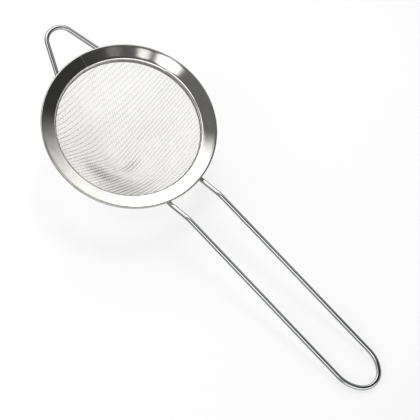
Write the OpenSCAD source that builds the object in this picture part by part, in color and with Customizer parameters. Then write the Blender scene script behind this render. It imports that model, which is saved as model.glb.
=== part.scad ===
// Conical strainer: a cone of wire mesh held in a stamped rim, with a long looped wire
// handle on one side and a short wire ear on the other, to rest it on a cup.
// The origin is the centre of the rim, level with its highest edge. +Z points up, the
// cone points down, and the handle runs out along +X.

/* [Rim] */
// Outer diameter of the rim
rim_d = 85; // [76:1:120]
// Width of the flange, from the mouth to the outer edge
flange_w = 7.3; // [6.5:0.1:12]
// Angle at which the flange falls towards the mouth
flange_tilt = 15; // [8:1:18]
// Thickness of the sheet
sheet_t = 0.7; // [0.5:0.05:0.8]
// Outer radius of the lip that is rolled under the edge
lip_r = 1.05; // [1:0.05:1.3]
// Radius of the rounded edge round the mouth
edge_r = 1.1; // [1:0.05:1.3]
// Lowest level of the collar, below the top of the rim
collar_depth = 4.6; // [4.5:0.1:5.5]

/* [Clamp ring] */
// Thickness of the ring that pinches the mesh against the collar
ring_t = 0.4; // [0.3:0.05:0.5]
// How far the ring stands into the mouth, past the flange
ring_proud = 0.45; // [0.2:0.05:0.6]

/* [Mesh cone] */
// Depth of the cone's tip below the top of the rim
cone_depth = 43; // [36:0.5:60]
// Inner radius of the rounded tip
tip_r = 5; // [3:0.5:8]
// Distance between neighbouring strands of the mesh
mesh_pitch = 5; // [4.5:0.1:9]
// Width of a strand
strand_w = 1.1; // [0.6:0.1:1.6]
// Thickness of the mesh, two wires deep where they cross
mesh_t = 0.6; // [0.4:0.05:0.8]
// Direction of the fold line where two quarters of the mesh meet
fold_turn = 42; // [0:1:89]

/* [Handle] */
// Diameter of the wire
wire_d = 2.4; // [1.8:0.1:2.8]
// Distance between the centre lines of the two legs
leg_gap = 20.24; // [16:0.1:26]
// Reach of the handle's outer end from the centre of the rim
handle_reach = 171.3; // [130:0.5:240]
// Slope of the handle, rising outwards
handle_slope = 4.3; // [0:0.1:12]
// How far the legs rise as they leave the rim
step_rise = 4.7; // [3:0.1:8]
// Steepness of that rise
step_slope = 21; // [15:1:45]
// Bend radius at both ends of the rise
step_r = 4; // [3:0.5:8]
// Bend radius at the shoulders of the loop
shoulder_r = 16; // [13:0.5:18]
// Turn of the wire in each shoulder
shoulder_turn = 40; // [20:1:45]

/* [Ear] */
// Reach of the ear's outer end from the centre of the rim
ear_reach = 62.4; // [56:0.2:80]
// Bend radius at the ear's outer end
ear_r = 7.06; // [5:0.02:9]
// Angle at which each leg of the ear closes in
ear_close = 20; // [5:1:30]
// Turn of the ear from the line of the handle, left from the welding
ear_turn = -4.6; // [-8:0.1:8]

/* [Hidden] */

round_fn = 96;
arc_steps = 8;
lip_steps = 24;
bend_steps = 6;
wire_sides = 16;
fit = 0.05;

// Rim: the lip and the rounded mouth edge are arcs about these two centres, and the
// flange is tangent to both
rim_r = rim_d / 2;
mouth_r = rim_r - flange_w;
lip_end = -160;
flange_up = 90 + flange_tilt;
lip_c = [rim_r - lip_r, -lip_r];
edge_x = mouth_r + edge_r;
edge_z = lip_c.y + (lip_r - edge_r + (edge_x - lip_c.x) * sin(flange_tilt)) / cos(flange_tilt);
edge_c = [edge_x, edge_z];

// Clamp ring: it lies inside the hem of the mesh, which lies inside the collar's seat
ring_r = mouth_r - ring_proud;
hem_r = ring_r + ring_t + fit;
seat_r = hem_r + mesh_t + fit;
seat_step = 0.4;
step_z = edge_z;
seat_z = step_z - seat_step;
collar_past = 0.1;
ring_z = collar_past - collar_depth;
ring_h = seat_z - fit - ring_z;

// Mesh cone: the inner face is a ball of tip_r, then a straight wall up to the hem
ball_z = tip_r + mesh_t - cone_depth;
reach = norm([hem_r, ring_z - ball_z]);
slope = atan2(ring_z - ball_z, hem_r) + asin(tip_r / reach);
ball_s = tip_r * slope * PI / 180;
wall_s = ball_s + sqrt(reach * reach - tip_r * tip_r);
hem_miter = mesh_t * tan((90 - slope) / 2);

// Square cloth drawn over a cone shears into four alike quarters. Rolled flat, a
// quarter is a sector, and its strands run parallel to the sector's two sides. Places on
// this net are counted in strands: side_n of them lie between the tip and the hem.
quarter = 90 * cos(slope);
side_n = wall_s / mesh_pitch;
half_n = strand_w / mesh_pitch / 2;

// A crossing nearer to the hem than snap_n is moved onto it. An opening smaller than area_n
// of a cell, or with a side shorter than least_n, stays closed
snap_n = 0.25;
area_n = 0.08;
least_n = 0.05;

// The hem's circle is made of chords this long at most, and points are rounded to 1 / grain
hem_chord = 2.5;
hem_steps = ceil(mesh_pitch / hem_chord);
grain = 10000;

// Wires: both are welded under the lip, with their ends beside the collar
wire_z = -2 * lip_r - wire_d / 2;
root_x = seat_r;
loop_r = (leg_gap / 2 - shoulder_r * (1 - cos(shoulder_turn))) / cos(shoulder_turn);
loop_l = shoulder_r * sin(shoulder_turn) + loop_r * (1 - sin(shoulder_turn));
step_arcs = step_r * (1 + cos(handle_slope) - 2 * cos(step_slope));
step_l = (step_rise - step_arcs) / sin(step_slope);
lip_cover = 1.5;
step_x = rim_r - lip_cover;
step_end = step_x + step_r * (2 * sin(step_slope) - sin(handle_slope)) + step_l * cos(step_slope);
leg_l = (handle_reach - wire_d / 2 - step_end) / cos(handle_slope) - loop_l;

// Points along an arc about c
function arc(c, r, from, to, n = arc_steps) =
    [for (i = [0:n]) let (a = from + (to - from) * i / n) c + r * [cos(a), sin(a)]];

// Directions along a bend of the wire
function steps(from, to) = [for (i = [0:bend_steps]) from + (to - from) * i / bend_steps];

// A point of the mesh, s along its inner face from the tip and h out from that face
function on_cone(s, turn, h) =
    let (bend = min(s, ball_s) / tip_r * 180 / PI)
    let (run = max(s - ball_s, 0))
    let (r = (tip_r + h) * sin(bend) + run * cos(slope))
    on_ring(r, turn, ball_z - (tip_r + h) * cos(bend) + run * sin(slope));

// A point at radius r and height z, rounded so that shared corners are the same point
function on_ring(r, turn, z) =
    [for (v = [r * cos(turn), r * sin(turn), z]) round(v * grain) / grain];

// A net point's distance from the tip, and its direction in its quarter, from 0 to 90
function net_s(p) = sqrt(p.x * p.x + p.y * p.y + 2 * p.x * p.y * cos(quarter));
function net_turn(p) = 90 * atan2(p.y * sin(quarter), p.x + p.y * cos(quarter)) / quarter;

// Whether a crossing lies clearly within or beyond the hem
function within(p) = net_s(p) < side_n - snap_n;
function beyond(p) = net_s(p) > side_n + snap_n;

// A crossing, marked 0 within the hem and 1 where it is moved onto it
function settled(p) = within(p) ? [p.x, p.y, 0] : [p.x, p.y, 0] * side_n / net_s(p) + [0, 0, 1];

// Where the strand from crossing a to crossing b meets the hem
function meeting(a, b) = a.x == b.x ? [a.x, hem_n(a.x), 1] : [hem_n(a.y), a.y, 1];
function hem_n(n) = sqrt(pow(side_n, 2) - pow(n * sin(quarter), 2)) - n * cos(quarter);

// Corners of cell (i, j), cut off where the hem runs through it
function cell(i, j) =
    let (c = [[i, j], [i + 1, j], [i + 1, j + 1], [i, j + 1]])
    [for (k = [0:3]) let (a = c[k], b = c[(k + 1) % 4]) each concat(
        beyond(a) ? [] : [settled(a)],
        (within(a) && beyond(b)) || (beyond(a) && within(b)) ? [meeting(a, b)] : [])];

// Corners of the opening in a cell, half a strand in from each of its sides
function opening(c) =
    [for (k = [0:len(c) - 1])
        let (n = len(c), from = inward(c[(k + n - 1) % n], c[k]), to = inward(c[k], c[(k + 1) % n]))
        [c[k].x, c[k].y] + half_n * (from + to) / (1 + from * to)];
function inward(a, b) = [a.y - b.y, b.x - a.x] / norm([b.x - a.x, b.y - a.y]);

// Whether an opening is cut, from its area and from its shortest side
function is_open(c, hole) = area(hole) > area_n && shortest(c, hole) > least_n;
function area(p) = [for (k = [0:len(p) - 1]) cross(p[k], p[(k + 1) % len(p)])] * [for (k = p) 0.5];
function shortest(c, hole) = min([for (k = [0:len(c) - 1])
    let (m = (k + 1) % len(c), across = inward(c[k], c[m]))
    (hole[m] - hole[k]) * [across.y, -across.x]]);

// A net point of quarter q at height h, and the corner between wall and hem
function on_net(q, p, h) = p.z == 1 ? kink(q, net_turn(p), h)
    : on_cone(mesh_pitch * net_s(p), fold_turn + 90 * q + net_turn(p), h);
function kink(q, turn, h) =
    on_ring(hem_r + h, fold_turn + 90 * q + turn, ring_z - hem_miter * h / mesh_t);
function hem_top(q, turn, h) = on_ring(hem_r + h, fold_turn + 90 * q + turn, ring_z + ring_h);

// Directions of the hem's corners between two corners of a cell that lie on it
function on_hem(a, b) = a.z + b.z == 2;
function turns(a, b) = [for (i = [0:hem_steps])
    net_turn(a) + (net_turn(b) - net_turn(a)) * i / hem_steps];

// One side of a cell as a chain of points at height h
function side(q, a, b, h) = on_hem(a, b) ? [for (t = turns(a, b)) kink(q, t, h)]
    : [on_net(q, a, h), on_net(q, b, h)];

// A quad as two triangles, and the same triangles seen from the other side
function quad(a, b, c, d) = [[a, b, c], [a, c, d]];
function turned(triangles) = [for (t = triangles) [t[2], t[1], t[0]]];

// The face of a cell at height h: a frame round its opening, or closed
function frame(q, c, hole, h) =
    [for (k = [0:len(c) - 1])
        let (m = (k + 1) % len(c), line = side(q, c[k], c[m], h), last = len(line) - 1)
        let (from = on_net(q, hole[k], h), to = on_net(q, hole[m], h))
        each concat([for (i = [1:last]) [line[i - 1], line[i], from]], [[line[last], to, from]])];
function closed(q, c, h) =
    [for (k = [1:len(c) - 2])
        let (line = side(q, c[k], c[k + 1], h))
        for (i = [1:len(line) - 1]) [on_net(q, c[0], h), line[i - 1], line[i]]];

// The walls of an opening, and the upright hem above a side: outside, inside and top edge
function walls(q, hole) =
    [for (k = [0:len(hole) - 1])
        let (a = hole[k], b = hole[(k + 1) % len(hole)])
        each quad(on_net(q, a, mesh_t), on_net(q, b, mesh_t), on_net(q, b, 0), on_net(q, a, 0))];
function hem(q, a, b) =
    let (t = turns(a, b))
    [for (i = [1:hem_steps]) let (from = t[i - 1], to = t[i]) each concat(
        quad(kink(q, from, mesh_t), hem_top(q, from, mesh_t),
            hem_top(q, to, mesh_t), kink(q, to, mesh_t)),
        quad(hem_top(q, from, 0), kink(q, from, 0), kink(q, to, 0), hem_top(q, to, 0)),
        quad(hem_top(q, from, mesh_t), hem_top(q, from, 0),
            hem_top(q, to, 0), hem_top(q, to, mesh_t)))];

// A cell of quarter q, with the hem above it where it has a side on the hem
function whole_cell(q, c) =
    let (hole = opening(c), open = is_open(c, hole))
    concat(
        open ? frame(q, c, hole, mesh_t) : closed(q, c, mesh_t),
        turned(open ? frame(q, c, hole, 0) : closed(q, c, 0)),
        open ? walls(q, hole) : [],
        [for (k = [0:len(c) - 1]) let (a = c[k], b = c[(k + 1) % len(c)])
            each on_hem(a, b) ? hem(q, a, b) : []]);
function quarter_mesh(q) =
    [for (i = [0:side_n], j = [0:side_n]) each within([i, j]) ? whole_cell(q, cell(i, j)) : []];

// Stamped sheet ring: rolled lip, falling flange, rounded edge, and a collar with a
// step that seats the mesh and the clamp ring
module rim() {
    top = concat(
        [[seat_r, -collar_depth], [seat_r, seat_z], [mouth_r, step_z]],
        arc(edge_c, edge_r, 180, flange_up),
        arc(lip_c, lip_r, flange_up, lip_end, lip_steps));
    under = concat(
        arc(lip_c, lip_r - sheet_t, lip_end, flange_up, lip_steps),
        arc(edge_c, edge_r - sheet_t, flange_up, 180),
        [[seat_r + sheet_t, seat_z], [seat_r + sheet_t, -collar_depth]]);
    color("gainsboro") rotate_extrude($fn = round_fn) polygon(concat(top, under));
}

// Thin band with rounded edges, inside the hem of the mesh
module clamp_ring() {
    r = ring_t / 2;
    color("silver") rotate_extrude($fn = round_fn) polygon(concat(
        arc([ring_r + r, ring_z + ring_h - r], r, 0, 180),
        arc([ring_r + r, ring_z + r], r, 180, 360)));
}

// Open mesh in one piece with its upright hem
module mesh_cone() {
    triangles = [for (q = [0:3]) each quarter_mesh(q)];
    color("whitesmoke") polyhedron(
        points = [for (t = triangles) each t],
        faces = [for (k = [0:len(triangles) - 1]) [3 * k, 3 * k + 1, 3 * k + 2]],
        convexity = 6);
}

// Round wire along a path of points that never turns upright
module wire(path) {
    n = len(path);
    rings = [for (i = [0:n - 1])
        let (ahead = path[min(i + 1, n - 1)] - path[max(i - 1, 0)])
        let (t = ahead / norm(ahead), side = cross([0, 0, 1], t))
        let (s = side / norm(side), up = cross(t, s))
        for (k = [0:wire_sides - 1])
            let (a = 360 * k / wire_sides)
            path[i] + wire_d / 2 * (s * cos(a) + up * sin(a))];
    last = (n - 1) * wire_sides;
    polyhedron(points = rings, convexity = 4, faces = concat(
        [for (i = [0:n - 2], k = [0:wire_sides - 1])
            let (a = i * wire_sides + k, b = i * wire_sides + (k + 1) % wire_sides)
            each [[a, a + wire_sides, b + wire_sides], [a, b + wire_sides, b]]],
        [for (k = [1:wire_sides - 2]) [0, k, k + 1]],
        [for (k = [1:wire_sides - 2]) [last, last + k + 1, last + k]]));
}

// Both halves of a path that starts on the left and ends on the centre line
function both_sides(half) = concat(
    half, [for (i = [len(half) - 2:-1:0]) [half[i].x, -half[i].y, half[i].z]]);

// One wire: both legs start under the flange, step up past the lip, run out on a slope
// and meet in the loop
module handle() {
    foot = [step_x, wire_z];
    rise = [for (a = steps(0, step_slope)) foot + step_r * [sin(a), 1 - cos(a)]];
    head = rise[bend_steps] + step_l * [cos(step_slope), sin(step_slope)];
    crest = head + step_r * [sin(step_slope), -cos(step_slope)];
    level = [for (a = steps(step_slope, handle_slope)) crest + step_r * [-sin(a), cos(a)]];
    start = level[bend_steps];
    shoulder = [for (a = steps(0, shoulder_turn))
        [leg_l + shoulder_r * sin(a), leg_gap / 2 - shoulder_r * (1 - cos(a))]];
    loop = [for (a = steps(90 - shoulder_turn, 0))
        [leg_l + loop_l - loop_r + loop_r * cos(a), loop_r * sin(a)]];
    half = concat(
        [[root_x, leg_gap / 2, wire_z]],
        [for (p = concat(rise, level)) [p.x, leg_gap / 2, p.y]],
        [for (p = concat(shoulder, [for (i = [1:bend_steps]) loop[i]]))
            [start.x + p.x * cos(handle_slope), p.y, start.y + p.x * sin(handle_slope)]]);
    color("lightgray") wire(both_sides(half));
}

// One wire, level: both legs start under the flange and close in to the rounded end
module ear() {
    end_x = ear_reach - wire_d / 2 - ear_r;
    bend = [for (a = steps(90 - ear_close, 0)) [end_x + ear_r * cos(a), ear_r * sin(a), wire_z]];
    length = (bend[0].x - root_x) / cos(ear_close);
    root = [root_x, bend[0].y + length * sin(ear_close), wire_z];
    color("lightgray") rotate([0, 0, 180 + ear_turn]) wire(both_sides(concat([root], bend)));
}

rim();
clamp_ring();
mesh_cone();
handle();
ear();
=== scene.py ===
"""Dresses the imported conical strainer: pressed steel rim, clamp ring, wire cloth and bright wires."""

import logging
import math
import random
from dataclasses import dataclass
from enum import Enum

import bmesh
import bpy
from mathutils import Matrix, Vector


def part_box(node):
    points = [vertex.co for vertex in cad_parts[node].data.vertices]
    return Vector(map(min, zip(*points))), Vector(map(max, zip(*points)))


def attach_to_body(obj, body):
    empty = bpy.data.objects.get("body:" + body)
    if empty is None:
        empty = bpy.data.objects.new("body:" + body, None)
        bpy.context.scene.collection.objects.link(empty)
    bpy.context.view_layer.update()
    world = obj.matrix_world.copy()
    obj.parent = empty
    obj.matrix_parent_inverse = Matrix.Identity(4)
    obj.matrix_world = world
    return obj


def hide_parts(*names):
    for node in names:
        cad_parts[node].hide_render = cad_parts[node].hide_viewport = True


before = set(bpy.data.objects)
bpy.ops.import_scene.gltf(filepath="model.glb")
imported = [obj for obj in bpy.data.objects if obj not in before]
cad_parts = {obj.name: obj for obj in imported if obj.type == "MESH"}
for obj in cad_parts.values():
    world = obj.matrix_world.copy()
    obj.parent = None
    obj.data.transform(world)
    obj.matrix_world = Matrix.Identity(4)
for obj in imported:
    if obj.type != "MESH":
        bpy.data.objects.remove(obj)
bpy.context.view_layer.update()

MM = 0.001
LOG = logging.getLogger("strainer")

Colour = tuple[float, float, float, float]


def linear(code: str) -> Colour:
    """Turns an sRGB hex colour into a linear one.

    Args:
        code: six hex digits after a hash sign.

    Returns:
        Red, green, blue and an alpha of 1.
    """
    parts = [int(code[i:i + 2], 16) / 255 for i in (1, 3, 5)]
    bent = [p / 12.92 if p <= 0.04045 else ((p + 0.055) / 1.055) ** 2.4 for p in parts]
    return bent[0], bent[1], bent[2], 1.0


def add_node(
    tree: bpy.types.NodeTree,
    kind: str,
    settings: dict | None = None,
    values: dict | None = None,
    links: dict | None = None,
) -> bpy.types.Node:
    """Adds one node with its settings, socket values and links.

    Args:
        tree: the node tree that takes the node.
        kind: the node's type name.
        settings: attributes of the node and their values.
        values: input sockets, by name or number, and their values.
        links: input sockets, by name or number, and the output that feeds each.

    Returns:
        The new node.
    """
    node = tree.nodes.new(kind)
    for name, value in (settings or {}).items():
        setattr(node, name, value)
    for socket, value in (values or {}).items():
        node.inputs[socket].default_value = value
    for socket, source in (links or {}).items():
        tree.links.new(source, node.inputs[socket])
    return node


def new_material(name: str) -> tuple[bpy.types.Material, bpy.types.NodeTree]:
    """Makes an empty node material.

    Args:
        name: the material's name.

    Returns:
        The material and its node tree.
    """
    material = bpy.data.materials.new(name)
    material.use_nodes = True
    material.node_tree.nodes.clear()
    return material, material.node_tree


def arc_points(
    centre: tuple[float, float], radius: float, start: float, end: float, steps: int
) -> list[tuple[float, float]]:
    """Works out points along an arc in a profile.

    Args:
        centre: the arc's centre, as radius from the axis and height.
        radius: the arc's radius.
        start: the direction of its first point, in degrees.
        end: the direction of its last point, in degrees.
        steps: how many chords the arc has.

    Returns:
        The points, from first to last.
    """
    turns = [math.radians(start + (end - start) * i / steps) for i in range(steps + 1)]
    return [(centre[0] + radius * math.cos(t), centre[1] + radius * math.sin(t)) for t in turns]


def finish_mesh(bm: bmesh.types.BMesh, name: str, recalculate: bool = True) -> bpy.types.Object:
    """Turns a bmesh in millimetres into a smooth object in metres.

    Args:
        bm: the mesh, which is freed.
        name: the object's name.
        recalculate: whether the faces are turned to point outwards first.

    Returns:
        The object, linked to the scene.
    """
    if recalculate:
        bmesh.ops.recalc_face_normals(bm, faces=bm.faces)
    bmesh.ops.scale(bm, vec=(MM, MM, MM), verts=bm.verts)
    for face in bm.faces:
        face.smooth = True
    mesh = bpy.data.meshes.new(name)
    bm.to_mesh(mesh)
    bm.free()
    piece = bpy.data.objects.new(name, mesh)
    bpy.context.scene.collection.objects.link(piece)
    return piece


def spin_profile(outline: list[tuple[float, float]], steps: int) -> bmesh.types.BMesh:
    """Spins a closed outline once round the Z axis.

    Args:
        outline: points of the outline, as radius and height.
        steps: how many steps the full turn has.

    Returns:
        The closed ring as a bmesh.
    """
    bm = bmesh.new()
    points = [bm.verts.new((r, 0, z)) for r, z in outline]
    edges = [bm.edges.new((a, b)) for a, b in zip(points, points[1:] + points[:1])]
    bmesh.ops.spin(
        bm, geom=points + edges, cent=(0, 0, 0), axis=(0, 0, 1), angle=math.tau,
        steps=steps, use_merge=True,
    )
    bmesh.ops.remove_doubles(bm, verts=bm.verts, dist=1e-5)
    return bm


def attach(piece: bpy.types.Object, steel: bpy.types.Material, node: str) -> None:
    """Gives a piece its finish and its place in the frame.

    Args:
        piece: the piece.
        steel: its material.
        node: the node of the pack that it replaces.
    """
    piece.data.materials.clear()
    piece.data.materials.append(steel)
    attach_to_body(piece, "root")
    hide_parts(node)


@dataclass(frozen=True)
class PolishedSheet:
    """Stainless steel sheet, deep drawn and buffed: mirror-like, with faint rings from the
    buffing wheel, slow waves from the press and a butt weld across the flange. The collar under
    the mouth's edge carries painted shade, and the outer lip carries a lighter painted shade."""

    colour: str = "#D6D5D2"
    dull_colour: str = "#C4C2BD"
    # Painted shade: the dark colour of the collar under the mouth's edge, also mixed in part into the
    # outer lip.
    painted_shade_colour: str = "#868581"
    shade_top: float = -2.2
    shade_radius: float = 38.0
    lip_radius: float = 41.9
    lip_shade_share: float = 0.65
    roughness: float = 0.06
    ring_spacing: float = 0.35
    ring_depth: float = 0.0006
    wave_length: float = 14.0
    wave_depth: float = 0.012
    seam_turn: float = 173.0
    seam_width: float = 0.3

    def material(self, name: str) -> bpy.types.Material:
        """Makes the material.

        Args:
            name: the material's name.

        Returns:
            The material, with patterns sized in millimetres.
        """
        material, tree = new_material(name)
        place = add_node(tree, "ShaderNodeTexCoord").outputs["Object"]
        axes = add_node(tree, "ShaderNodeSeparateXYZ", links={0: place}).outputs
        turn = add_node(
            tree, "ShaderNodeMath", {"operation": "ARCTAN2"}, links={0: axes[1], 1: axes[0]}
        ).outputs[0]
        flat = add_node(
            tree, "ShaderNodeCombineXYZ", links={0: axes[0], 1: axes[1]}
        ).outputs[0]
        radius = add_node(
            tree, "ShaderNodeVectorMath", {"operation": "LENGTH"}, links={0: flat}
        ).outputs["Value"]
        round_way = add_node(
            tree, "ShaderNodeCombineXYZ", links={0: radius, 1: turn, 2: axes[2]}
        ).outputs[0]
        rings = add_node(
            tree, "ShaderNodeMapping",
            values={"Scale": (1 / (self.ring_spacing * MM), 2.2, 1 / (self.ring_spacing * MM))},
            links={0: round_way},
        ).outputs[0]
        lines = add_node(
            tree, "ShaderNodeTexNoise", values={"Scale": 1.0, "Detail": 4.0, "Roughness": 0.6},
            links={"Vector": rings},
        ).outputs["Fac"]
        waves = add_node(
            tree, "ShaderNodeTexNoise",
            values={"Scale": 1 / (self.wave_length * MM), "Detail": 1.5, "Roughness": 0.4},
            links={"Vector": place},
        ).outputs["Fac"]
        handled = add_node(
            tree, "ShaderNodeTexNoise",
            values={"Scale": 1 / (5.0 * MM), "Detail": 5.0, "Roughness": 0.65},
            links={"Vector": place},
        ).outputs["Fac"]
        off_seam = add_node(
            tree, "ShaderNodeMath", {"operation": "SUBTRACT"},
            values={1: math.radians(self.seam_turn)}, links={0: turn},
        ).outputs[0]
        arm = add_node(
            tree, "ShaderNodeMath", {"operation": "MULTIPLY"}, links={0: off_seam, 1: radius}
        ).outputs[0]
        far = add_node(tree, "ShaderNodeMath", {"operation": "ABSOLUTE"}, links={0: arm}).outputs[0]
        seam = add_node(
            tree, "ShaderNodeMapRange", {"interpolation_type": "SMOOTHSTEP"},
            values={1: 0.0, 2: self.seam_width * MM, 3: 1.0, 4: 0.0}, links={0: far},
        ).outputs[0]
        tone = add_node(
            tree, "ShaderNodeMapRange", values={1: 0.35, 2: 0.75, 3: 0.0, 4: 1.0},
            links={0: handled},
        ).outputs[0]
        colour = add_node(
            tree, "ShaderNodeMix", {"data_type": "RGBA"},
            values={6: linear(self.colour), 7: linear(self.dull_colour)}, links={0: tone},
        ).outputs[2]
        # Painted shade: the collar wall below the mouth's rounded edge, inside shade_radius, takes the
        # dark colour fully.
        under_lip = add_node(
            tree, "ShaderNodeMapRange",
            values={1: (self.shade_top - 0.2) * MM, 2: self.shade_top * MM, 3: 1.0, 4: 0.0},
            links={0: axes[2]},
        ).outputs[0]
        inside = add_node(
            tree, "ShaderNodeMath", {"operation": "LESS_THAN"}, values={1: self.shade_radius * MM},
            links={0: radius},
        ).outputs[0]
        collar = add_node(
            tree, "ShaderNodeMath", {"operation": "MULTIPLY"}, links={0: under_lip, 1: inside}
        ).outputs[0]
        # Painted shade on the outer lip: part of the dark colour is mixed in beyond lip_radius.
        lip = add_node(
            tree, "ShaderNodeMapRange",
            values={
                1: self.lip_radius * MM, 2: (self.lip_radius + 0.2) * MM, 3: 0.0,
                4: self.lip_shade_share,
            },
            links={0: radius},
        ).outputs[0]
        # The larger of the two painted shades sets how much of the dark colour is mixed in.
        shade_share = add_node(
            tree, "ShaderNodeMath", {"operation": "MAXIMUM"}, links={0: collar, 1: lip}
        ).outputs[0]
        colour = add_node(
            tree, "ShaderNodeMix", {"data_type": "RGBA"},
            values={7: linear(self.painted_shade_colour)}, links={0: shade_share, 6: colour},
        ).outputs[2]
        rough = add_node(
            tree, "ShaderNodeMapRange",
            values={1: 0.3, 2: 0.8, 3: self.roughness * 0.75, 4: self.roughness * 1.6},
            links={0: handled},
        ).outputs[0]
        rougher = add_node(
            tree, "ShaderNodeMath", {"operation": "MULTIPLY_ADD"}, values={1: 0.25},
            links={0: seam, 2: rough},
        ).outputs[0]
        fine = add_node(
            tree, "ShaderNodeBump", values={"Strength": 1.0, "Distance": self.ring_depth * MM},
            links={"Height": lines},
        ).outputs[0]
        slow = add_node(
            tree, "ShaderNodeBump", values={"Strength": 1.0, "Distance": self.wave_depth * MM},
            links={"Height": waves, "Normal": fine},
        ).outputs[0]
        weld = add_node(
            tree, "ShaderNodeBump", {"invert": True},
            values={"Strength": 0.6, "Distance": 0.02 * MM},
            links={"Height": seam, "Normal": slow},
        ).outputs[0]
        steel = add_node(
            tree, "ShaderNodeBsdfPrincipled", values={"Metallic": 1.0},
            links={"Base Color": colour, "Roughness": rougher, "Normal": weld},
        ).outputs[0]
        add_node(tree, "ShaderNodeOutputMaterial", links={"Surface": steel})
        return material


@dataclass(frozen=True)
class RolledStrip:
    """Thin stainless strip, rolled and left as it came: satin, with lines along its length, and a colour
    darkened as painted shade for its place inside the mouth's wall.
    """

    # Painted shade: the colour is darkened far below bare steel, for the band deep in the mouth's wall.
    colour: str = "#858480"
    roughness: float = 0.24
    line_spacing: float = 0.25
    line_depth: float = 0.002

    def material(self, name: str) -> bpy.types.Material:
        """Makes the material.

        Args:
            name: the material's name.

        Returns:
            The material, with its lines running round the ring.
        """
        material, tree = new_material(name)
        place = add_node(tree, "ShaderNodeTexCoord").outputs["Object"]
        spacing = 1 / (self.line_spacing * MM)
        stretched = add_node(
            tree, "ShaderNodeMapping", values={"Scale": (spacing / 12, spacing / 12, spacing)},
            links={0: place},
        ).outputs[0]
        lines = add_node(
            tree, "ShaderNodeTexNoise", values={"Scale": 1.0, "Detail": 3.0},
            links={"Vector": stretched},
        ).outputs["Fac"]
        rough = add_node(
            tree, "ShaderNodeMapRange",
            values={1: 0.3, 2: 0.7, 3: self.roughness * 0.8, 4: self.roughness * 1.3},
            links={0: lines},
        ).outputs[0]
        bump = add_node(
            tree, "ShaderNodeBump", values={"Strength": 1.0, "Distance": self.line_depth * MM},
            links={"Height": lines},
        ).outputs[0]
        steel = add_node(
            tree, "ShaderNodeBsdfPrincipled",
            values={"Metallic": 1.0, "Base Color": linear(self.colour)},
            links={"Roughness": rough, "Normal": bump},
        ).outputs[0]
        add_node(tree, "ShaderNodeOutputMaterial", links={"Surface": steel})
        return material


@dataclass(frozen=True)
class WovenSteel:
    """Fine stainless wire, woven and cleaned in acid: a soft, slightly warm shine. Darker patches
    lie on the near side and beside the tip, and a broad painted shade darkens the near wall."""

    colour: str = "#F0EEEA"
    shade_colour: str = "#E2DFD9"
    patch_and_shade_colour: str = "#7F7B78"
    roughness: float = 0.6
    patch: float = 9.0
    # Darker patches round points, each as x, y, z, size and depth in millimetres: one lower on the near
    # side, one beside the tip, and a broad painted shade over the near side of the wall.
    dark_patches_and_shade: tuple[tuple[float, float, float, float, float], ...] = (
        (6.0, -17.5, -23.5, 14.0, 0.9), (9.0, 1.0, -35.0, 7.0, 0.9),
        (22.0, -18.0, -14.0, 20.0, 0.75),
    )

    def material(self, name: str) -> bpy.types.Material:
        """Makes the material.

        Args:
            name: the material's name.

        Returns:
            The material, with slow changes of tone over the cloth.
        """
        material, tree = new_material(name)
        place = add_node(tree, "ShaderNodeTexCoord").outputs["Object"]
        cloud = add_node(
            tree, "ShaderNodeTexNoise",
            values={"Scale": 1 / (self.patch * MM), "Detail": 3.0, "Roughness": 0.55},
            links={"Vector": place},
        ).outputs["Fac"]
        colour = add_node(
            tree, "ShaderNodeMix", {"data_type": "RGBA"},
            values={6: linear(self.colour), 7: linear(self.shade_colour)}, links={0: cloud},
        ).outputs[2]
        # Each patch mixes the dark colour in round its point; the last, broad one is painted shade.
        for x, y, z, size, depth in self.dark_patches_and_shade:
            gap = add_node(
                tree, "ShaderNodeVectorMath", {"operation": "DISTANCE"},
                values={1: (x * MM, y * MM, z * MM)}, links={0: place},
            ).outputs["Value"]
            ragged = add_node(
                tree, "ShaderNodeMath", {"operation": "MULTIPLY_ADD"}, values={1: size * MM},
                links={0: cloud, 2: gap},
            ).outputs[0]
            share = add_node(
                tree, "ShaderNodeMapRange", {"interpolation_type": "SMOOTHSTEP"},
                values={1: size * 0.6 * MM, 2: size * 1.5 * MM, 3: depth, 4: 0.0},
                links={0: ragged},
            ).outputs[0]
            colour = add_node(
                tree, "ShaderNodeMix", {"data_type": "RGBA"},
                values={7: linear(self.patch_and_shade_colour)}, links={0: share, 6: colour},
            ).outputs[2]
        rough = add_node(
            tree, "ShaderNodeMapRange",
            values={1: 0.3, 2: 0.7, 3: self.roughness * 0.85, 4: self.roughness * 1.2},
            links={0: cloud},
        ).outputs[0]
        steel = add_node(
            tree, "ShaderNodeBsdfPrincipled", values={"Metallic": 1.0},
            links={"Base Color": colour, "Roughness": rough},
        ).outputs[0]
        add_node(tree, "ShaderNodeOutputMaterial", links={"Surface": steel})
        return material


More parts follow.
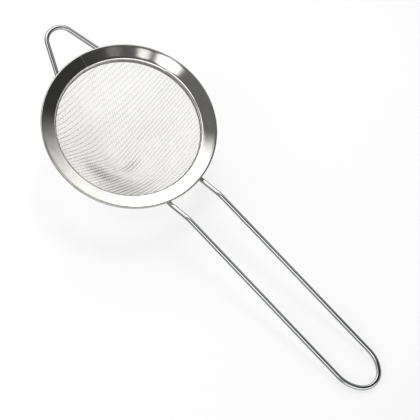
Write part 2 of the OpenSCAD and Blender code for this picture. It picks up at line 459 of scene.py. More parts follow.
@dataclass(frozen=True)
class DrawnWire:
    """Steel wire drawn through a die and plated bright: mirror-like, with faint lines along it."""

    colour: str = "#A4A5A6"
    roughness: float = 0.07
    line_spacing: float = 0.22
    line_depth: float = 0.0012

    def material(self, name: str) -> bpy.types.Material:
        """Makes the material.

        Args:
            name: the material's name.

        Returns:
            The material, with its lines running along X as the legs do.
        """
        material, tree = new_material(name)
        place = add_node(tree, "ShaderNodeTexCoord").outputs["Object"]
        spacing = 1 / (self.line_spacing * MM)
        stretched = add_node(
            tree, "ShaderNodeMapping", values={"Scale": (spacing / 40, spacing, spacing)},
            links={0: place},
        ).outputs[0]
        lines = add_node(
            tree, "ShaderNodeTexNoise", values={"Scale": 1.0, "Detail": 3.0},
            links={"Vector": stretched},
        ).outputs["Fac"]
        rough = add_node(
            tree, "ShaderNodeMapRange",
            values={1: 0.3, 2: 0.7, 3: self.roughness * 0.7, 4: self.roughness * 1.5},
            links={0: lines},
        ).outputs[0]
        bump = add_node(
            tree, "ShaderNodeBump", values={"Strength": 1.0, "Distance": self.line_depth * MM},
            links={"Height": lines},
        ).outputs[0]
        steel = add_node(
            tree, "ShaderNodeBsdfPrincipled",
            values={"Metallic": 1.0, "Base Color": linear(self.colour)},
            links={"Roughness": rough, "Normal": bump},
        ).outputs[0]
        add_node(tree, "ShaderNodeOutputMaterial", links={"Surface": steel})
        return material


@dataclass
class StampedRim:
    """The pressed ring: rolled lip, falling flange, rounded mouth edge and stepped collar."""

    outer_r: float
    collar_bottom: float
    flange_w: float = 7.3
    flange_tilt: float = 15.0
    sheet: float = 0.7
    lip_r: float = 1.05
    corner_r: float = 0.6
    edge_r: float = 1.1
    seat_out: float = 0.65
    seat_step: float = 0.4
    curl_end: float = -160.0
    spin_steps: int = 288

    @property
    def mouth_r(self) -> float:
        """Radius of the mouth, inside the flange."""
        return self.outer_r - self.flange_w

    @property
    def lip_centre(self) -> tuple[float, float]:
        """Centre of the curl under the rolled lip."""
        return self.outer_r - self.lip_r, -self.lip_r

    @property
    def corner_centre(self) -> tuple[float, float]:
        """Centre of the tighter bend over which the flange turns down into the lip."""
        return self.outer_r - self.corner_r, -self.corner_r

    @property
    def edge_centre(self) -> tuple[float, float]:
        """Centre of the rounded mouth edge, which the flange touches as it touches the lip."""
        tilt = math.radians(self.flange_tilt)
        x = self.mouth_r + self.edge_r
        fall = (x - self.corner_centre[0]) * math.sin(tilt)
        z = self.corner_centre[1] + (self.corner_r - self.edge_r + fall) / math.cos(tilt)
        return x, z

    @property
    def step_z(self) -> float:
        """Height at which the collar steps out to seat the mesh."""
        return self.edge_centre[1]

    def outline(self) -> list[tuple[float, float]]:
        """Works out the sheet's section.

        Returns:
            Points of the closed outline, top skin first and underside back.
        """
        up = 90 + self.flange_tilt
        seat_r = self.mouth_r + self.seat_out
        seat_z = self.step_z - self.seat_step
        top = [(seat_r, self.collar_bottom), (seat_r, seat_z), (self.mouth_r, self.step_z)]
        top += arc_points(self.edge_centre, self.edge_r, 180, up, 10)
        bead = arc_points(self.corner_centre, self.corner_r, up, 0, 12)
        bead += arc_points(self.lip_centre, self.lip_r, 0, self.curl_end, 18)
        top += self.between(top[-1], bead[0], 5) + bead
        under = arc_points(self.lip_centre, self.lip_r - self.sheet, self.curl_end, up, 20)
        fold = arc_points(self.edge_centre, self.edge_r - self.sheet, up, 180, 6)
        under += self.between(under[-1], fold[0], 5) + fold
        under += [(seat_r + self.sheet, seat_z), (seat_r + self.sheet, self.collar_bottom)]
        return top + under

    @staticmethod
    def between(
        a: tuple[float, float], b: tuple[float, float], parts: int
    ) -> list[tuple[float, float]]:
        """Returns the inner points that divide the line from a to b into equal parts."""
        return [
            (a[0] + (b[0] - a[0]) * i / parts, a[1] + (b[1] - a[1]) * i / parts)
            for i in range(1, parts)
        ]

    def press(self) -> bpy.types.Object:
        """Spins the section into the ring and returns it."""
        return finish_mesh(spin_profile(self.outline(), self.spin_steps), "rim_sheet")

    def dress(self, piece: bpy.types.Object) -> None:
        """Gives the ring its buffed finish, with painted shade on the collar and the outer lip."""
        attach(piece, PolishedSheet().material("polished_sheet"), "rim")

    def build(self) -> list[bpy.types.Object]:
        """Makes and dresses the rim, and returns it in a list."""
        piece = self.press()
        self.dress(piece)
        return [piece]


@dataclass
class ClampBand:
    """The thin band that pinches the mesh against the collar."""

    inner_r: float
    bottom: float
    top: float
    thick: float = 0.4
    spin_steps: int = 240

    def roll(self) -> bpy.types.Object:
        """Spins the rounded section into the band and returns it."""
        r = self.thick / 2
        outline = arc_points((self.inner_r + r, self.top - r), r, 0, 180, 8)
        outline += arc_points((self.inner_r + r, self.bottom + r), r, 180, 360, 8)
        return finish_mesh(spin_profile(outline, self.spin_steps), "clamp_band")

    def dress(self, piece: bpy.types.Object) -> None:
        """Gives the band its rolled finish, darkened with painted shade."""
        attach(piece, RolledStrip().material("rolled_strip_painted_shade"), "clamp_ring")

    def build(self) -> list[bpy.types.Object]:
        """Makes and dresses the band, and returns it in a list."""
        piece = self.roll()
        self.dress(piece)
        return [piece]


class Thread(Enum):
    """The two sets of wires in the cloth."""

    WARP = 0
    WEFT = 1


@dataclass(frozen=True)
class Lay:
    """How one set of wires lies, seen from above.

    The set is counted along the direction `turn`, and waves round the cone push it about, as
    the press stretched the cloth more down one side of the cone than down another.
    """

    pitch: float
    turn: float
    push: float
    push_turn: float
    waves: int

    def count(self, turn: float) -> float:
        """Returns how many wires one millimetre out from the axis crosses, at an angle."""
        main = math.cos(turn - math.radians(self.turn))
        return (main + self.push * math.cos(self.waves * turn - math.radians(self.push_turn))) / self.pitch


@dataclass
class WireCone:
    """Woven wire cloth pressed into a cone with a rounded tip, and its upright hem.

    Seen from above the wires keep a nearly even spacing, so the meshes are drawn out down the
    wall.
    """

    hem_r: float
    hem_z: float
    tip_z: float
    tip_r: float = 5.0
    thick: float = 0.6
    wires: tuple[float, float] = (0.33, 0.21)
    hem_rise: float = 1.2
    slack: float = 0.02
    lays: tuple[Lay, Lay] = (Lay(1.81, 2.6, 0.039, 162.0, 3), Lay(0.93, 76.5, 0.07, -13.0, 2))

    @property
    def ball_z(self) -> float:
        """Height of the centre of the rounded tip."""
        return self.tip_z + self.thick + self.tip_r

    @property
    def slope(self) -> float:
        """Slope of the wall from the horizontal, in radians."""
        rise = self.hem_z - self.ball_z
        reach = math.hypot(self.hem_r, rise)
        return math.atan2(rise, self.hem_r) + math.asin(self.tip_r / reach)

    def on_cone(self, r: float, turn: float, out: float) -> Vector:
        """Places a point of the cloth.

        Args:
            r: distance from the axis of the cone's inner face.
            turn: angle round the axis, in radians.
            out: distance out from the cone's inner face.

        Returns:
            The point, in millimetres.
        """
        bend = min(math.asin(min(r / self.tip_r, 1.0)), self.slope)
        run = max(r - self.tip_r * math.sin(self.slope), 0.0)
        far = r + out * math.sin(bend)
        z = self.ball_z - (self.tip_r + out) * math.cos(bend) + run * math.tan(self.slope)
        return Vector((far * math.cos(turn), far * math.sin(turn), z))

    @staticmethod
    def turn_at(lay: Lay, middle: float, way: float, level: float, r: float) -> float:
        """Finds the angle at which a wire is a given distance from the axis.

        Args:
            lay: how the wire's set lies.
            middle: the angle at which the wire is nearest to the axis.
            way: 1 or -1, the side of that angle.
            level: the wire's number.
            r: the distance.

        Returns:
            The angle, in radians.
        """
        near, far = 0.0, math.radians(110)
        for _ in range(24):
            half = (near + far) / 2
            if lay.count(middle + way * half) * r / level > 1:
                near = half
            else:
                far = half
        return middle + way * near

    def strand(self, thread: Thread, index: int, rng: random.Random) -> list[Vector]:
        """Works out one wire's centre line, over and under the wires that cross it.

        Args:
            thread: whether the wire is warp or weft.
            index: the wire's number, counted from the tip.
            rng: source of the small unevenness of the weave.

        Returns:
            Points from one end, up in the hem, to the other.
        """
        lay, other = self.lays[thread.value], self.lays[1 - thread.value]
        level = index + 0.5 + rng.uniform(-self.slack, self.slack)
        turns = [math.radians(lay.turn + (0 if level > 0 else 180) + i) for i in range(-40, 41)]
        middle = max(turns, key=lambda turn: lay.count(turn) / level)
        nearest = level / lay.count(middle)
        if nearest > self.hem_r - max(self.wires):
            return []
        reach = math.sqrt(self.hem_r ** 2 - nearest ** 2)
        parts = math.ceil(reach / (other.pitch * 0.3))
        swing = sum(self.wires) / 4 * (1 if thread is Thread.WARP else -1) * (-1) ** index
        points = []
        for i in range(-parts, parts + 1):
            r = math.hypot(nearest, i * reach / parts)
            turn = self.turn_at(lay, middle, math.copysign(1, i), level, r)
            wave = math.cos(math.pi * (other.count(turn) * r - 0.5))
            points.append(self.on_cone(r, turn, self.thick / 2 + swing * wave))
        for slot in (0, len(points) + 1):
            top = points[min(slot, len(points) - 1)].copy()
            top.z = 0
            top = top.normalized() * (self.hem_r + self.thick / 2)
            top.z = self.hem_z + self.hem_rise
            points.insert(slot, top)
        return points

    def build_thread(self, thread: Thread) -> bpy.types.Object:
        """Draws every wire of one thread as round wire.

        Args:
            thread: which of the two threads.

        Returns:
            The wires as one mesh.
        """
        rng = random.Random(7 + thread.value)
        name = f"cloth_{thread.name.lower()}"
        curve = bpy.data.curves.new(name, "CURVE")
        curve.dimensions = "3D"
        curve.bevel_depth = self.wires[thread.value] / 2 * MM
        curve.bevel_resolution = 1
        last = int(self.hem_r * 1.2 / self.lays[thread.value].pitch)
        for index in range(-last - 1, last + 1):
            points = self.strand(thread, index, rng)
            if not points:
                continue
            spline = curve.splines.new("POLY")
            spline.points.add(len(points) - 1)
            for slot, point in zip(spline.points, points):
                slot.co = (*(point * MM), 1.0)
        drawn = bpy.data.objects.new(name + "_line", curve)
        bpy.context.scene.collection.objects.link(drawn)
        bpy.context.view_layer.update()
        solid = drawn.evaluated_get(bpy.context.evaluated_depsgraph_get())
        mesh = bpy.data.meshes.new_from_object(solid)
        bpy.data.objects.remove(drawn)
        mesh.name = name
        for face in mesh.polygons:
            face.use_smooth = True
        piece = bpy.data.objects.new(name, mesh)
        bpy.context.scene.collection.objects.link(piece)
        return piece

    def dress(self, pieces: list[bpy.types.Object]) -> None:
        """Gives both threads the same soft finish, with its darker patches and painted shade."""
        steel = WovenSteel().material("woven_steel")
        for piece in pieces:
            attach(piece, steel, "mesh_cone")

    def build(self) -> list[bpy.types.Object]:
        """Weaves and dresses the cloth, and returns the warp and the weft."""
        pieces = [self.build_thread(thread) for thread in Thread]
        self.dress(pieces)
        return pieces


class WireBender:
    """Bends one round wire, as a maker does: straight runs and bends, from one end to the other."""

    def __init__(self, start: Vector, heading: Vector, wire: float, sides: int = 32) -> None:
        """Starts the wire with an open ring at its first end.

        Args:
            start: centre of the first end.
            heading: direction in which the wire sets off.
            wire: diameter of the wire.
            sides: how many sides its section has.
        """
        self.bm = bmesh.new()
        self.at = start.copy()
        self.heading = heading.normalized()
        aim = self.heading.to_track_quat("Z", "Y").to_matrix().to_4x4()
        bmesh.ops.create_circle(
            self.bm, cap_ends=False, radius=wire / 2, segments=sides,
            matrix=Matrix.Translation(start) @ aim,
        )
        self.ring = list(self.bm.edges)

    def run(self, length: float, parts: int = 1) -> None:
        """Adds a straight run.

        Args:
            length: its length.
            parts: how many lengths it is divided into.
        """
        for _ in range(parts):
            grown = bmesh.ops.extrude_edge_only(self.bm, edges=self.ring)["geom"]
            verts = [g for g in grown if isinstance(g, bmesh.types.BMVert)]
            self.ring = [
                g for g in grown
                if isinstance(g, bmesh.types.BMEdge) and all(v in verts for v in g.verts)
            ]
            bmesh.ops.translate(self.bm, vec=self.heading * (length / parts), verts=verts)
        self.at += self.heading * length

    def bend(self, radius: float, degrees: float, axis: Vector, steps: int) -> None:
        """Adds a bend.

        Args:
            radius: bend radius of the centre line.
            degrees: how far the wire turns.
            axis: direction that it turns about, by the right-hand rule.
            steps: how many steps the bend has.
        """
        centre = self.at + axis.cross(self.heading).normalized() * radius
        verts = list({v for e in self.ring for v in e.verts})
        spun = bmesh.ops.spin(
            self.bm, geom=verts + self.ring, cent=centre, axis=axis,
            angle=math.radians(degrees), steps=steps,
        )
        self.ring = [g for g in spun["geom_last"] if isinstance(g, bmesh.types.BMEdge)]
        turn = Matrix.Rotation(math.radians(degrees), 3, axis)
        self.at = centre + turn @ (self.at - centre)
        self.heading = turn @ self.heading

    def cut(self, name: str, chamfer: float) -> bpy.types.Object:
        """Closes both ends with a small rounded edge and makes the piece.

        Args:
            name: the piece's name.
            chamfer: radius of the rounded edge.

        Returns:
            The wire.
        """
        bmesh.ops.remove_doubles(self.bm, verts=self.bm.verts, dist=1e-4)
        open_edges = [e for e in self.bm.edges if e.is_boundary]
        caps = bmesh.ops.holes_fill(self.bm, edges=open_edges, sides=0)["faces"]
        rims = list({e for f in caps for e in f.edges})
        bmesh.ops.bevel(
            self.bm, geom=rims, offset=chamfer, segments=3, profile=0.5,
            affect="EDGES", material=-1,
        )
        return finish_mesh(self.bm, name)


@dataclass
class LoopHandle:
    """The long handle: two legs that step up from the rim and meet in a loop."""

    wire: float
    reach: float
    leg_gap: float
    root_x: float
    wire_z: float
    slope: float = 4.3
    step_x: float = 41.0
    step_rise: float = 4.8
    step_slope: float = 21.0
    step_r: float = 4.0
    knee_r: float = 14.0
    shoulder_r: float = 16.0
    shoulder_turn: float = 40.0

    def shape(self) -> bpy.types.Object:
        """Bends the wire from the left leg's end to the right leg's end.

        Returns:
            The handle.
        """
        half = self.leg_gap / 2
        steep = math.radians(self.step_slope)
        gentle = math.radians(self.slope)
        turn = math.radians(self.shoulder_turn)
        tip_r = (half - self.shoulder_r * (1 - math.cos(turn))) / math.cos(turn)
        loop = self.shoulder_r * math.sin(turn) + tip_r * (1 - math.sin(turn))
        arcs = self.step_r * (1 - math.cos(steep))
        arcs += self.knee_r * (math.cos(gentle) - math.cos(steep))
        rise = (self.step_rise - arcs) / math.sin(steep)
        arcs_x = self.step_r * math.sin(steep)
        arcs_x += self.knee_r * (math.sin(steep) - math.sin(gentle))
        step_end = self.step_x + arcs_x + rise * math.cos(steep)
        leg = (self.reach - self.wire / 2 - step_end) / math.cos(gentle) - loop
        side = Vector((0, 1, 0))
        up = Vector((-math.sin(gentle), 0, math.cos(gentle)))
        bender = WireBender(
            Vector((self.root_x, half, self.wire_z)), Vector((1, 0, 0)), self.wire
        )
        bender.run(self.step_x - self.root_x, 2)
        bender.bend(self.step_r, self.step_slope, -side, 8)
        bender.run(rise, 2)
        bender.bend(self.knee_r, self.step_slope - self.slope, side, 8)
        bender.run(leg, 12)
        bender.bend(self.shoulder_r, self.shoulder_turn, -up, 14)
        bender.bend(tip_r, 180 - 2 * self.shoulder_turn, -up, 24)
        bender.bend(self.shoulder_r, self.shoulder_turn, -up, 14)
        bender.run(leg, 12)
        bender.bend(self.knee_r, self.step_slope - self.slope, -side, 8)
        bender.run(rise, 2)
        bender.bend(self.step_r, self.step_slope, side, 8)
        bender.run(self.step_x - self.root_x, 2)
        return bender.cut("handle_wire", 0.2)

    def dress(self, piece: bpy.types.Object) -> None:
        """Gives the handle its bright finish."""
        attach(piece, DrawnWire().material("handle_steel"), "handle")

    def build(self) -> list[bpy.types.Object]:
        """Makes and dresses the handle, and returns it in a list."""
        piece = self.shape()
        self.dress(piece)
        return [piece]


@dataclass
class RestEar:
    """The short ear opposite the handle, closing in to a rounded end."""

    wire: float
    root_x: float
    wire_z: float
    reach: float = 62.4
    end_r: float = 7.06
    close: float = 20.0
    turn: float = -4.6

    def shape(self) -> bpy.types.Object:
        """Bends the wire into the ear.

        Returns:
            The ear.
        """
        close = math.radians(self.close)
        end_x = self.reach - self.wire / 2 - self.end_r
        leg = (end_x + self.end_r * math.sin(close) - self.root_x) / math.cos(close)
        root_y = self.end_r * math.cos(close) + leg * math.sin(close)
        swing = Matrix.Rotation(math.pi + math.radians(self.turn), 3, "Z")
        start = swing @ Vector((self.root_x, root_y, self.wire_z))
        heading = swing @ Vector((math.cos(close), -math.sin(close), 0))
        bender = WireBender(start, heading, self.wire)
        bender.run(leg, 6)
        bender.bend(self.end_r, 180 - 2 * self.close, Vector((0, 0, -1)), 28)
        bender.run(leg, 6)
        return bender.cut("ear_wire", 0.2)

    def dress(self, piece: bpy.types.Object) -> None:
        """Gives the ear the handle's bright finish."""
        attach(piece, DrawnWire().material("ear_steel"), "ear")

    def build(self) -> list[bpy.types.Object]:
        """Makes and dresses the ear, and returns it in a list."""
        piece = self.shape()
        self.dress(piece)
        return [piece]


@dataclass
class Studio:
    """Camera, floor, lamps and surroundings.

    The strainer lies on its tip and the end of its handle, so the floor is tilted under it.
    Directions of lights are given as the picture shows them: azimuth 0 is to the right, 90 is
    away from the camera, and the elevation is above the floor.
    """

    tip: Vector
    ball_r: float
    wire: float
    handle_end: Vector
    camera_azimuth: float = 23.999
    camera_elevation: float = 65.324
    camera_roll: float = 26.053
    camera_distance: float = 1500.0
    aim_right: float = 38.22
    aim_up: float = -40.36
    lens: float = 270.8
    sensor: float = 36.0
    floor_gap: float = 0.02
    floor_lift: float = 0.7
    sheet_fade: tuple[float, float] = (140.0, 320.0)
    mirror_centre: tuple[float, float, float] = (120.0, 60.0, 0.0)
    mirror_fade: tuple[float, float] = (260.0, 180.0)
    ceiling: float = 550.0
    window_power: float = 2.3
    softbox_power: float = 2.5
    front_power: float = 3.0
    panel_power: float = 0.3

    def camera_axes(self) -> tuple[Vector, Vector, Vector]:
        """Returns the camera's right, up and backward directions."""
        a = math.radians(self.camera_azimuth)
        e = math.radians(self.camera_elevation)
        back = Vector((math.sin(a) * math.cos(e), -math.cos(a) * math.cos(e), math.sin(e)))
        level = Vector((math.cos(a), math.sin(a), 0))
        roll = Matrix.Rotation(math.radians(self.camera_roll), 3, back)
        right = roll @ level
        return right, back.cross(right), back

    def floor_normal(self) -> Vector:
        """Returns the normal of the plane that touches the tip and the handle's end."""
        ball = self.tip + Vector((0, 0, self.ball_r))
        line = self.handle_end - ball
        lean = math.asin((self.ball_r - self.wire / 2) / line.length)
        angle = math.atan2(line.z, line.x) + lean
        return Vector((-math.sin(angle), 0, math.cos(angle)))

    def picture_axes(self) -> Matrix:
        """Returns the rows of directions right, away and up, with up square to the floor."""
        up = self.floor_normal()
        right = self.camera_axes()[0]
        right = (right - up * right.dot(up)).normalized()
        return Matrix((right, up.cross(right), up))

    def direction(self, azimuth: float, elevation: float) -> Vector:
        """Turns a direction of the picture into one of the object's frame.

        Args:
            azimuth: degrees from the picture's right towards its far side.
            elevation: degrees above the floor.

        Returns:
            A unit vector.
        """
        a, e = math.radians(azimuth), math.radians(elevation)
        seen = Vector((math.cos(e) * math.cos(a), math.cos(e) * math.sin(a), math.sin(e)))
        return self.picture_axes().transposed() @ seen

    def place_camera(self) -> None:
        """Sets up the camera at the photograph's view."""
        right, up, back = self.camera_axes()
        place = right * self.aim_right + up * self.aim_up + back * self.camera_distance
        data = bpy.data.cameras.new("camera")
        data.lens = self.lens
        data.sensor_width = self.sensor
        data.clip_start = 0.05
        data.clip_end = 50.0
        camera = bpy.data.objects.new("camera", data)
        turned = Matrix((right, up, back)).transposed().to_4x4()
        camera.matrix_world = Matrix.Translation(place * MM) @ turned
        bpy.context.scene.collection.objects.link(camera)
        bpy.context.scene.camera = camera

    def foot(self) -> Vector:
        """Returns the point of the floor under the tip."""
        ball = self.tip + Vector((0, 0, self.ball_r))
        return ball - self.floor_normal() * (self.ball_r + self.floor_gap)

    def sheet(self, name: str, half: float, height: float) -> bpy.types.Object:
        """Makes a square sheet that lies level with the floor.

        Args:
            name: the sheet's name.
            half: half its side, in millimetres.
            height: its height above the floor, in millimetres.

        Returns:
            The sheet, facing up.
        """
        bm = bmesh.new()
        normal = self.floor_normal()
        aim = normal.to_track_quat("Z", "Y").to_matrix().to_4x4()
        place = Matrix.Translation(self.foot() + normal * height) @ aim
        bmesh.ops.create_grid(bm, x_segments=2, y_segments=2, size=half, matrix=place)
        return finish_mesh(bm, name, recalculate=False)

    def picture_place(self, tree: bpy.types.NodeTree, unit: float) -> bpy.types.NodeSocket:
        """Adds a point's place along the picture's axes, counted from under the rim.

        Args:
            tree: the node tree.
            unit: the length that counts as 1, in millimetres.

        Returns:
            The output with the place: right, away and up.
        """
        turn = self.picture_axes()
        rim_foot = turn @ (-self.floor_normal() * self.floor_normal().dot(-self.foot()))
        return add_node(
            tree, "ShaderNodeMapping", {"vector_type": "POINT"},
            values={
                "Location": -rim_foot / unit, "Rotation": turn.to_euler(),
                "Scale": (1 / (unit * MM),) * 3,
            },
            links={0: add_node(tree, "ShaderNodeTexCoord").outputs["Object"]},
        ).outputs[0]

    def lay_floor(self) -> None:
        """Lays a pale floor that shows the shadow from above and nothing from below."""
        floor = self.sheet("floor", 3000, 0)
        material, tree = new_material("pale_floor")
        place = self.picture_place(tree, 1.0)
        away = add_node(
            tree, "ShaderNodeVectorMath", {"operation": "LENGTH"}, links={0: place}
        ).outputs["Value"]
        far = self.soft_step(tree, away, *self.sheet_fade)
        path = add_node(tree, "ShaderNodeLightPath").outputs
        colour = add_node(
            tree, "ShaderNodeMix", {"data_type": "RGBA"},
            values={6: linear("#D6D6D6"), 7: linear("#5A5A5A")}, links={0: far},
        ).outputs[2]
        matt = add_node(tree, "ShaderNodeBsdfDiffuse", links={"Color": colour}).outputs[0]
        glow = add_node(
            tree, "ShaderNodeEmission", values={"Color": linear("#FFFFFF"), "Strength": 1.0}
        ).outputs[0]
        beyond = add_node(
            tree, "ShaderNodeMath", {"operation": "MULTIPLY"},
            values={1: 1 - self.floor_lift}, links={0: far},
        ).outputs[0]
        lift = add_node(
            tree, "ShaderNodeMath", {"operation": "ADD"}, values={1: self.floor_lift},
            links={0: beyond},
        ).outputs[0]
        seen_lift = add_node(
            tree, "ShaderNodeMath", {"operation": "MULTIPLY"},
            links={0: lift, 1: path["Is Camera Ray"]},
        ).outputs[0]
        through = add_node(
            tree, "ShaderNodeMath", {"operation": "MAXIMUM"},
            links={0: path["Is Glossy Ray"], 1: path["Is Transmission Ray"]},
        ).outputs[0]
        aside = add_node(
            tree, "ShaderNodeVectorMath", {"operation": "DISTANCE"},
            values={1: self.mirror_centre}, links={0: place},
        ).outputs["Value"]
        near = self.soft_step(tree, aside, *self.mirror_fade)
        mirrored = add_node(
            tree, "ShaderNodeMath", {"operation": "MULTIPLY"}, links={0: near, 1: through}
        ).outputs[0]
        share = add_node(
            tree, "ShaderNodeMath", {"operation": "MULTIPLY_ADD"}, values={1: self.floor_lift},
            links={0: mirrored, 2: seen_lift},
        ).outputs[0]
        pale = add_node(tree, "ShaderNodeMixShader", links={0: share, 1: matt, 2: glow}).outputs[0]
        clear = add_node(tree, "ShaderNodeBsdfTransparent").outputs[0]
        behind = add_node(tree, "ShaderNodeNewGeometry").outputs["Backfacing"]
        seen = add_node(
            tree, "ShaderNodeMixShader", links={0: behind, 1: pale, 2: clear}
        ).outputs[0]
        add_node(tree, "ShaderNodeOutputMaterial", links={"Surface": seen})
        floor.data.materials.append(material)

    def hang_lamp(
        self, name: str, azimuth: float, elevation: float, width: float, power: float
    ) -> None:
        """Hangs one square soft lamp that points at the strainer.

        The steel mirrors the surroundings, in which the lamps' diffusers are drawn, so the lamps
        themselves only light the floor and cast the soft shadow.

        Args:
            name: the lamp's name.
            azimuth: its direction in the picture, in degrees.
            elevation: its height above the floor, in degrees.
            width: its side, in metres.
            power: its power, in watts.
        """
        data = bpy.data.lights.new(name, "AREA")
        data.shape = "SQUARE"
        data.size = width
        data.energy = power
        lamp = bpy.data.objects.new(name, data)
        away = self.direction(azimuth, elevation)
        lamp.location = away * 1.3
        lamp.rotation_mode = "QUATERNION"
        lamp.rotation_quaternion = away.to_track_quat("Z", "Y")
        lamp.visible_camera = False
        lamp.visible_glossy = False
        bpy.context.scene.collection.objects.link(lamp)

    @staticmethod
    def soft_step(
        tree: bpy.types.NodeTree, value: bpy.types.NodeSocket, low: float, high: float
    ) -> bpy.types.NodeSocket:
        """Makes a smooth step from 0 at low to 1 at high, or down if high is below low.

        Args:
            tree: the node tree.
            value: the output that is stepped.
            low: where the step is 0.
            high: where the step is 1.

        Returns:
            The step's output.
        """
        ends = (low, high, 0.0, 1.0) if low < high else (high, low, 1.0, 0.0)
        return add_node(
            tree, "ShaderNodeMapRange", {"interpolation_type": "SMOOTHSTEP"},
            values=dict(zip((1, 2, 3, 4), ends)), links={0: value},
        ).outputs[0]

    @staticmethod
    def hot_spot(
        tree: bpy.types.NodeTree, place: bpy.types.NodeSocket, centre: tuple[float, float],
        fade: tuple[float, float], power: float,
    ) -> bpy.types.NodeSocket:
        """Adds the round bright middle of a diffuser.

        Args:
            tree: the node tree.
            place: the output with the place on the ceiling.
            centre: where the middle is, across and deep.
            fade: the radii at which it is dark and fully bright.
            power: how bright it is.

        Returns:
            The output with its brightness.
        """
        flat = add_node(
            tree, "ShaderNodeVectorMath", {"operation": "MULTIPLY"}, values={1: (1, 1, 0)},
            links={0: place},
        ).outputs[0]
        gap = add_node(
            tree, "ShaderNodeVectorMath", {"operation": "DISTANCE"}, values={1: (*centre, 0)},
            links={0: flat},
        ).outputs["Value"]
        return add_node(
            tree, "ShaderNodeMapRange", {"interpolation_type": "SMOOTHSTEP"},
            values={1: fade[1], 2: fade[0], 3: power, 4: 0.0}, links={0: gap},
        ).outputs[0]

    def hang_ceiling(self) -> None:
        """Hangs the sheet with the two big diffusers, which only the object and the floor see.

        Places on it are counted in its height above the floor.
        """
        ceiling = self.sheet("ceiling", 40 * self.ceiling, self.ceiling)
        material, tree = new_material("lit_ceiling")

        def maths(operation: str, *terms: float | bpy.types.NodeSocket) -> bpy.types.NodeSocket:
            """Adds a sum of the given kind over numbers and outputs, and returns its output."""
            numbers = {i: t for i, t in enumerate(terms) if isinstance(t, float)}
            sockets = {i: t for i, t in enumerate(terms) if not isinstance(t, float)}
            return add_node(
                tree, "ShaderNodeMath", {"operation": operation}, numbers, sockets
            ).outputs[0]

        place = self.picture_place(tree, self.ceiling)
        axes = add_node(tree, "ShaderNodeSeparateXYZ", links={0: place}).outputs
        across, deep = axes[0], axes[1]
        reach = maths("SQRT", maths("ADD", maths("MULTIPLY", across, across),
                                    maths("MULTIPLY", deep, deep)))
        level = maths("MULTIPLY_ADD", self.soft_step(tree, across, 0.1, 0.7), -0.14, 0.19)
        level = maths("MULTIPLY", level, maths(
            "MULTIPLY_ADD", self.soft_step(tree, reach, 1.2, 2.4), -0.6, 1.0))
        edge = maths("SUBTRACT", maths("MULTIPLY_ADD", across, -0.4, deep), 0.28)
        spread = maths("MULTIPLY_ADD", self.soft_step(tree, across, -0.1, 1.0), 0.32, 0.07)
        window = self.soft_step(tree, maths("DIVIDE", edge, spread), -1.0, 1.0)
        window = maths("MULTIPLY", window, self.soft_step(tree, reach, 1.9, 1.3))
        level = maths("MULTIPLY_ADD", window, 1.5, level)
        middle = maths("MULTIPLY", self.soft_step(tree, across, -1.4, -1.1),
                       self.soft_step(tree, across, 0.42, 0.2))
        middle = maths("MULTIPLY", middle, self.soft_step(tree, deep, 0.42, 0.62))
        middle = maths("MULTIPLY", middle, self.soft_step(tree, deep, 1.35, 1.15))
        level = maths("MULTIPLY_ADD", middle, self.window_power, level)
        front = maths("MULTIPLY", self.soft_step(tree, deep, -1.5, -2.2), self.soft_step(
            tree, maths("MULTIPLY_ADD", deep, -0.62, across), -0.3, 0.5))
        level = maths("MULTIPLY_ADD", front, self.front_power, level)
        corner = maths("ADD", across, deep)
        low = maths("MULTIPLY", self.soft_step(tree, reach, 1.7, 2.3),
                    self.soft_step(tree, corner, 1.0, 2.2))
        level = maths("MULTIPLY_ADD", low, self.panel_power, level)
        near = maths("MULTIPLY", self.soft_step(tree, across, -1.25, -1.1),
                     self.soft_step(tree, corner, -0.57, -0.67))
        near = maths("MULTIPLY", near, self.soft_step(tree, deep, -1.25, -1.1))
        level = maths("MULTIPLY_ADD", near, 1.12, level)
        level = maths("ADD", level, self.hot_spot(
            tree, place, (-0.55, -0.6), (0.45, 0.25), self.softbox_power))
        level = maths("ADD", level, self.hot_spot(tree, place, (0.135, -0.165), (0.085, 0.05), 1.9))
        level = maths("ADD", level, self.hot_spot(tree, place, (0.265, -0.205), (0.05, 0.02), 1.3))
        level = maths("ADD", level, self.hot_spot(tree, place, (0.43, -0.2), (0.06, 0.02), 0.18))
        glow = add_node(tree, "ShaderNodeEmission", links={"Strength": level}).outputs[0]
        add_node(tree, "ShaderNodeOutputMaterial", links={"Surface": glow})
        ceiling.data.materials.append(material)
        ceiling.visible_camera = False
        ceiling.visible_shadow = False

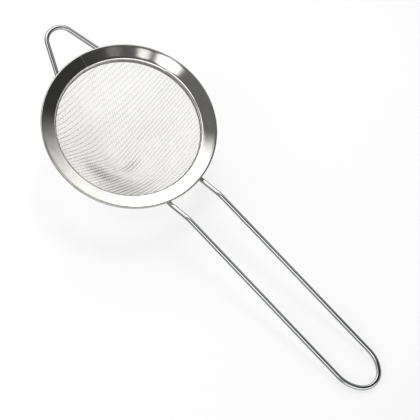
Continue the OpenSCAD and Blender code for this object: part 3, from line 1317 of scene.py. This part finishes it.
    def darken_room(self) -> None:
        """Makes the room beyond the sheets: dim as a light, white to the camera and in the steel."""
        world = bpy.data.worlds.new("studio")
        world.use_nodes = True
        tree = world.node_tree
        tree.nodes.clear()
        dim = add_node(
            tree, "ShaderNodeBackground", values={"Color": linear("#FFFFFF"), "Strength": 0.035}
        ).outputs[0]
        white = add_node(
            tree, "ShaderNodeBackground", values={"Color": linear("#FFFFFF"), "Strength": 1.0}
        ).outputs[0]
        path = add_node(tree, "ShaderNodeLightPath").outputs
        mirrored = add_node(
            tree, "ShaderNodeMath", {"operation": "MAXIMUM"},
            links={0: path["Is Glossy Ray"], 1: path["Is Transmission Ray"]},
        ).outputs[0]
        either = add_node(
            tree, "ShaderNodeMath", {"operation": "MAXIMUM"},
            links={0: path["Is Camera Ray"], 1: mirrored},
        ).outputs[0]
        seen = add_node(
            tree, "ShaderNodeMixShader", links={0: either, 1: dim, 2: white}
        ).outputs[0]
        add_node(tree, "ShaderNodeOutputWorld", links={"Surface": seen})
        bpy.context.scene.world = world

    def build(self) -> None:
        """Sets up everything that isn't part of the strainer."""
        self.place_camera()
        self.lay_floor()
        self.hang_lamp("main_lamp", 63, 79, 0.4, 6.5)
        self.hang_lamp("fill_lamp", -114, 59, 0.6, 1.5)
        self.hang_ceiling()
        self.darken_room()
        bpy.context.scene.view_settings.view_transform = "Standard"


def in_mm(node: str) -> tuple[Vector, Vector]:
    """Returns a node's lowest and highest corners in millimetres."""
    low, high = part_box(node)
    return low / MM, high / MM


def main() -> None:
    """Builds the studio and every piece of the strainer."""
    rim_low, rim_high = in_mm("rim")
    band_low, band_high = in_mm("clamp_ring")
    cone_low, cone_high = in_mm("mesh_cone")
    handle_low, handle_high = in_mm("handle")
    rim = StampedRim(outer_r=42.5, collar_bottom=rim_low.z)
    wire = 2.4
    wire_z = -2 * rim.lip_r - wire / 2
    end = Vector((handle_high.x - wire / 2, 0, handle_high.z - wire / 2))
    Studio(Vector((0, 0, cone_low.z)), 5.6, wire, end).build()
    parts = (
        rim,
        ClampBand(34.75, band_low.z, band_high.z),
        WireCone(hem_r=35.2, hem_z=band_low.z, tip_z=cone_low.z),
        LoopHandle(wire, handle_high.x, 20.24, handle_low.x, wire_z),
        RestEar(wire, handle_low.x, wire_z),
    )
    for part in parts:
        for piece in part.build():
            LOG.info("%s: %d faces", piece.name, len(piece.data.polygons))
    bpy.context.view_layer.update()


if __name__ == "__main__":
    logging.basicConfig(level=logging.INFO, format="%(message)s")
    main()
